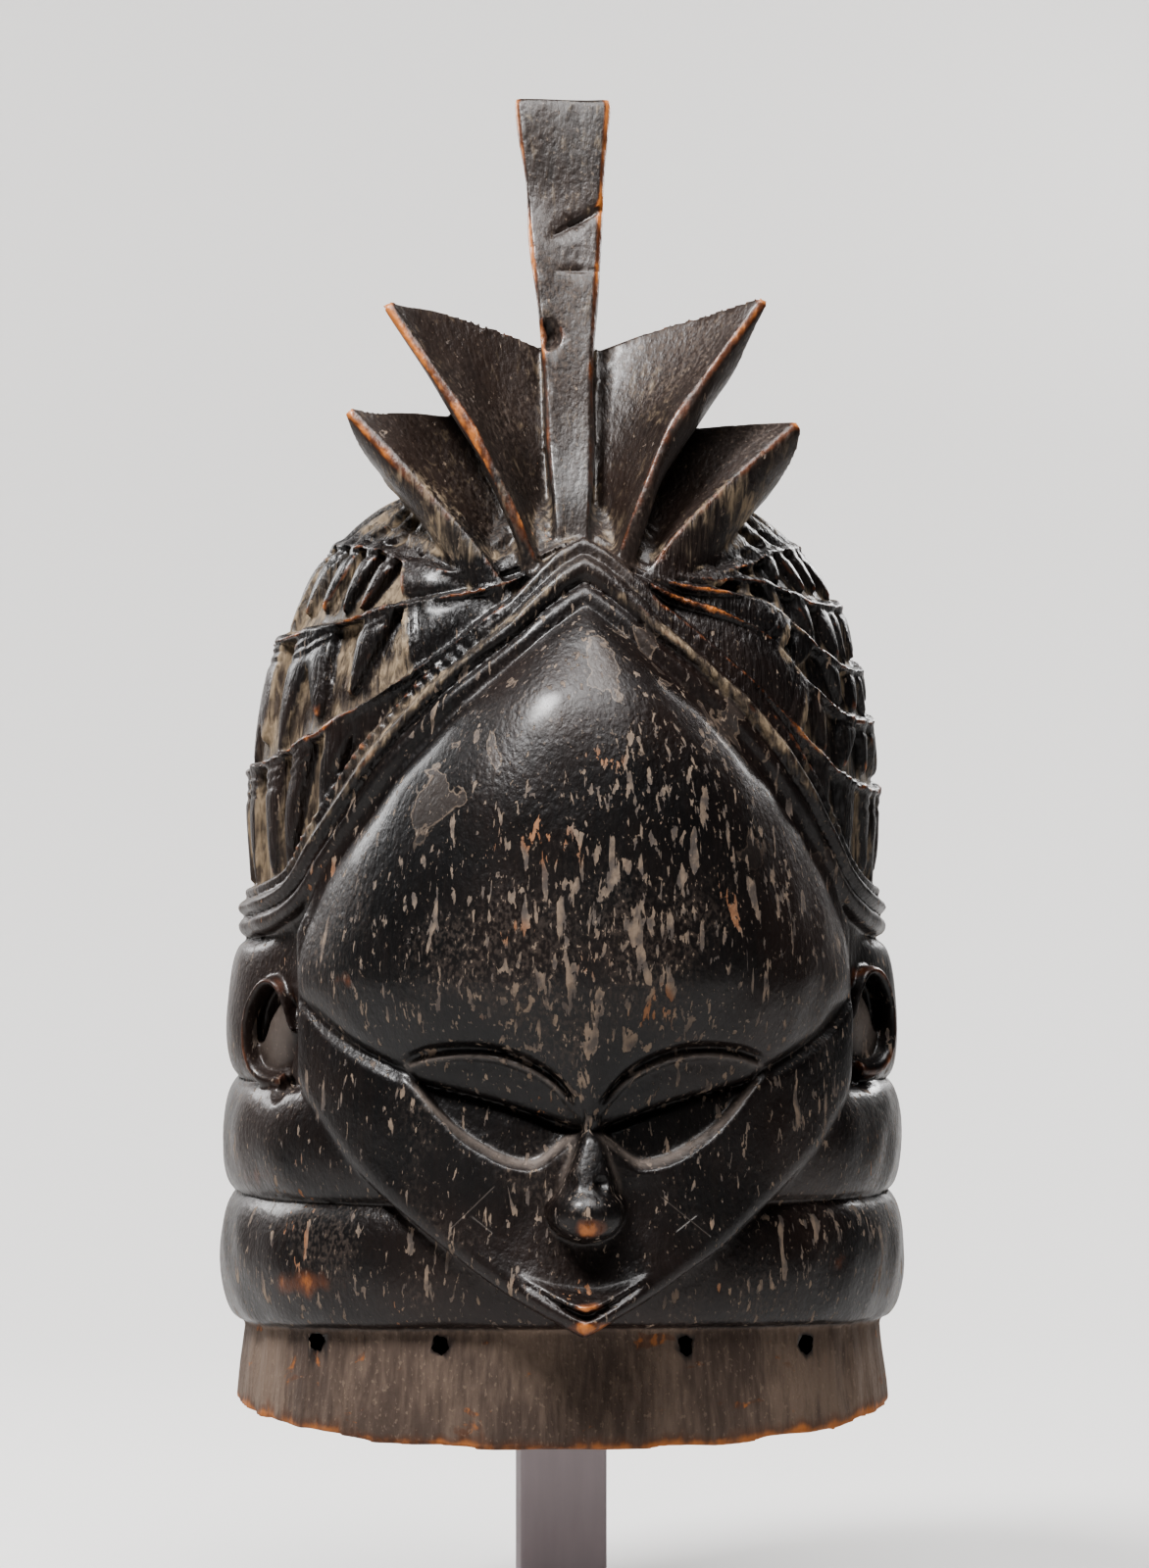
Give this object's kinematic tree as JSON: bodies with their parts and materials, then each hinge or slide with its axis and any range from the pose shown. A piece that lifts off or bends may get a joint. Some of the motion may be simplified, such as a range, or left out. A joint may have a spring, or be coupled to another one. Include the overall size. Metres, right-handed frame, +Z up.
{
  "type": "bundu helmet mask",
  "caption": "Carved wooden helmet mask with lowered eyes, neck rolls, dressed hair and a fanned crest, held up from inside on a square post and plate foot.",
  "frame": {"origin": "middle of the foot's underside", "axes": "+Z up, -Y the way the face looks, +X the mask's own left"},
  "size_m": [0.2302, 0.2602, 0.5305],
  "materials": {
    "blackened_wood": "polished",
    "post_paint": "matte paint",
    "foot_paint": "matte paint"
  },
  "bodies": {
    "root": {"mask": "blackened_wood", "display_post": "post_paint", "display_foot": "foot_paint"}
  },
  "joints": []
}
